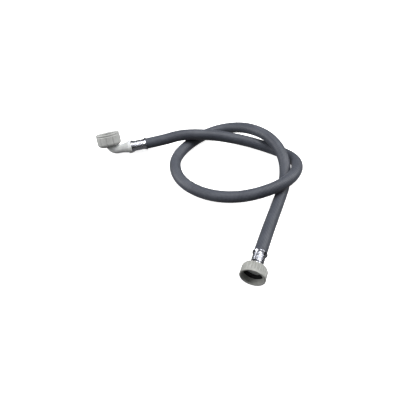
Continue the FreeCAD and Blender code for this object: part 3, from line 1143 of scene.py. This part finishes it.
# ------------------------------------------------------------------ tails
@dataclass(frozen=True)
class Stem:
    """The barbed stem that a tail pushes into the hose."""

    length: float = 17.0
    root_r: float = 4.5
    barb_r: float = 4.96
    tip_r: float = 4.3
    bore_r: float = 3.6
    barbs: int = 3

    def corners(self, start: float, direction: int) -> list[Corner]:
        """Return the corners of the stem's outside, from its root to its bored tip.

        Args:
            start: the height of the root.
            direction: 1 if the stem goes up the axis and -1 if it goes down.

        Returns:
            The corners, in order.
        """
        pitch = self.length / self.barbs
        tip = start + direction * self.length
        corners = []
        for index in range(self.barbs):
            near = start + direction * (pitch * index + 1.0)
            far = start + direction * (pitch * (index + 1) - 0.8)
            corners += [(self.root_r, near, 0.1), (self.barb_r, near + direction * 0.5, 0.1),
                        (self.root_r, far, 0.1)]
        return corners + [(self.tip_r, tip, 0.3), (self.bore_r, tip, 0.2)]


@dataclass
class Tail:
    """What both tails have: a sealing flange, a neck for the ferrule and a barbed stem."""

    axis: Axis | ElbowAxis
    flange_r: float = 11.76
    flange: float = 2.0
    neck_r: float = 7.4
    stem: Stem = Stem()


@dataclass
class StraightTail(Tail):
    """The straight end's tail, with a straight neck."""

    neck_end: float = -6.2
    around: int = 96

    def build(self, plastic: Material) -> None:
        """Make the tail in moulded plastic."""
        corners = [(self.stem.bore_r, 0, 0.5), (self.flange_r, 0, 0.3),
                   (self.flange_r, -self.flange, 0.3), (self.neck_r, -self.flange, 0.7),
                   (self.neck_r, self.neck_end, 0.2), (self.stem.root_r, self.neck_end, 0.2)]
        corners += self.stem.corners(self.neck_end, -1)
        piece = turned("straight_tail_spigot", divided(rounded(corners), 1.0), self.around,
                       self.axis, plastic)
        settle(piece, Body.HOSE, "tail_plastic", "straight_tail")


@dataclass
class ElbowTail(Tail):
    """The elbow: a tight bend behind the flange, then a tail that flares to a collar."""

    tube_r: float = 6.2
    corner: float = 9.8
    flare_from: float = 16.5
    flare_to: float = 23.5
    flare_r: float = 7.6
    collar_from: float = 25.48
    collar_to: float = 30.48
    collar_r: float = 9.2
    neck_end: float = 31.1
    hose_end: float = 31.2
    parting: float = 0.16
    around: int = 128

    def along(self, from_corner: float) -> float:
        """Return the distance along the axis of a point past the bend's corner."""
        return self.flange + self.corner * math.pi / 2 + from_corner - self.corner

    def seam(self, radius: Array, height: Array, angle: Array) -> tuple[Array, Array]:
        """Raise a fine parting line where the mould's halves met, at a = 90 and 270 degrees."""
        line = hump(0.0, 0.05, np.cos(angle)) * (radius > self.stem.bore_r + 1.5)
        line = line * smooth_step(self.flange, self.flange + 1.5, height)
        line = line * (1 - smooth_step(self.along(30.0), self.along(30.4), height))
        return radius + self.parting * line, height

    def build(self, plastic: Material) -> None:
        """Make the elbow in moulded plastic."""
        neck, collar = self.along(self.neck_end), self.along(self.collar_from)
        flared, shoulder = self.along(self.flare_to), self.along(self.collar_to)
        corners = [(self.stem.bore_r, 0, 0.5), (self.flange_r, 0, 0.3),
                   (self.flange_r, self.flange, 0.3), (self.tube_r, self.flange, 0.5),
                   (self.tube_r, self.along(self.flare_from), 4.0), (self.flare_r, flared, 4.0),
                   (self.flare_r, collar, 0.4), (self.collar_r, collar, 0.7),
                   (self.collar_r, shoulder, 0.7), (self.neck_r, shoulder, 0.1),
                   (self.neck_r, neck, 0.1), (self.stem.root_r, neck, 0.1)]
        corners += self.stem.corners(self.along(self.hose_end), 1)
        piece = turned("elbow_tail_spigot", divided(rounded(corners, 6), 0.7), self.around,
                       self.axis, plastic, self.seam)
        settle(piece, Body.HOSE, "elbow_plastic", "elbow_body")


def main() -> None:
    """Build the camera, the hose, its fittings and the studio, in that order."""
    logging.basicConfig(level=logging.INFO, format="%(message)s")
    studio = Studio()
    studio.camera()

    cover = ClothMarkedRubber().build()
    yarn = BraidedPolyester().build()
    liner = DullRubber("extruded_liner_rubber", "26282b", "3c3e42").build()
    seal = DullRubber("moulded_seal_rubber", "141517", "2c2e31").build()
    chrome = ChromedSteel().build()
    nut_grey = MouldedPolypropylene("moulded_nut_polypropylene", "9d9e9a", "acada9").build()
    elbow_nut_grey = MouldedPolypropylene("moulded_pale_polypropylene", "b9bab8", "c8c9c7",
                                          translucency=0.15).build()
    tail_grey = MouldedPolypropylene("moulded_tail_polypropylene", "e8eaea", "f0f2f2",
                                     roughness=0.34, translucency=0.6).build()

    hose = SupplyHose()
    hose.build(cover, yarn, liner)

    tail_way = (0.879969, 0.454186, 0.139173)
    nut_way = (-0.336428, 0.389029, 0.857597)
    elbow_union = Axis.along((-124.3699, 60.4405, 15.6839), nut_way, tail_way)
    elbow_hose = Axis.along((-92.945, 70.0206, 9.9065), tail_way, nut_way)
    straight_union = Axis.along((129.75, -77.3, 15.0), (0, -1, 0), (1, 0, 0))
    straight_hose = Axis.along((129.75, -71.0, 15.0), (0, 1, 0), (1, 0, 0))

    StraightTail(straight_union).build(tail_grey)
    elbow_line = ElbowAxis(elbow_union, np.array(tail_way), ElbowTail.flange, ElbowTail.corner)
    ElbowTail(elbow_line).build(tail_grey)
    Ferrule("straight_crimp_ferrule", "straight_ferrule", straight_hose,
            hose.straight_crimp).build(chrome)
    Ferrule("elbow_crimp_ferrule", "elbow_ferrule", elbow_hose, hose.elbow_crimp).build(chrome)
    SealWasher("straight_seal_washer", "straight_washer", Body.STRAIGHT_WASHER,
               straight_union).build(seal)
    SealWasher("elbow_seal_washer", "elbow_washer", Body.ELBOW_WASHER, elbow_union).build(seal)
    UnionNut("straight_union_nut", "straight_nut", Body.STRAIGHT_NUT, straight_union,
             outer_r=15.0, length=15.5, dome=5.5, hub_r=9.0, hole_r=7.7,
             flutes=24, band=2.2, flute_depth=1.05).build(nut_grey)
    UnionNut("elbow_union_nut", "elbow_nut", Body.ELBOW_NUT, elbow_union,
             outer_r=17.0, length=18.7, dome=5.5, hub_r=10.6, hole_r=8.66,
             flutes=12, band=3.5, rim_groove=0.7).build(elbow_nut_grey)
    studio.build()


if __name__ == "__main__":
    main()
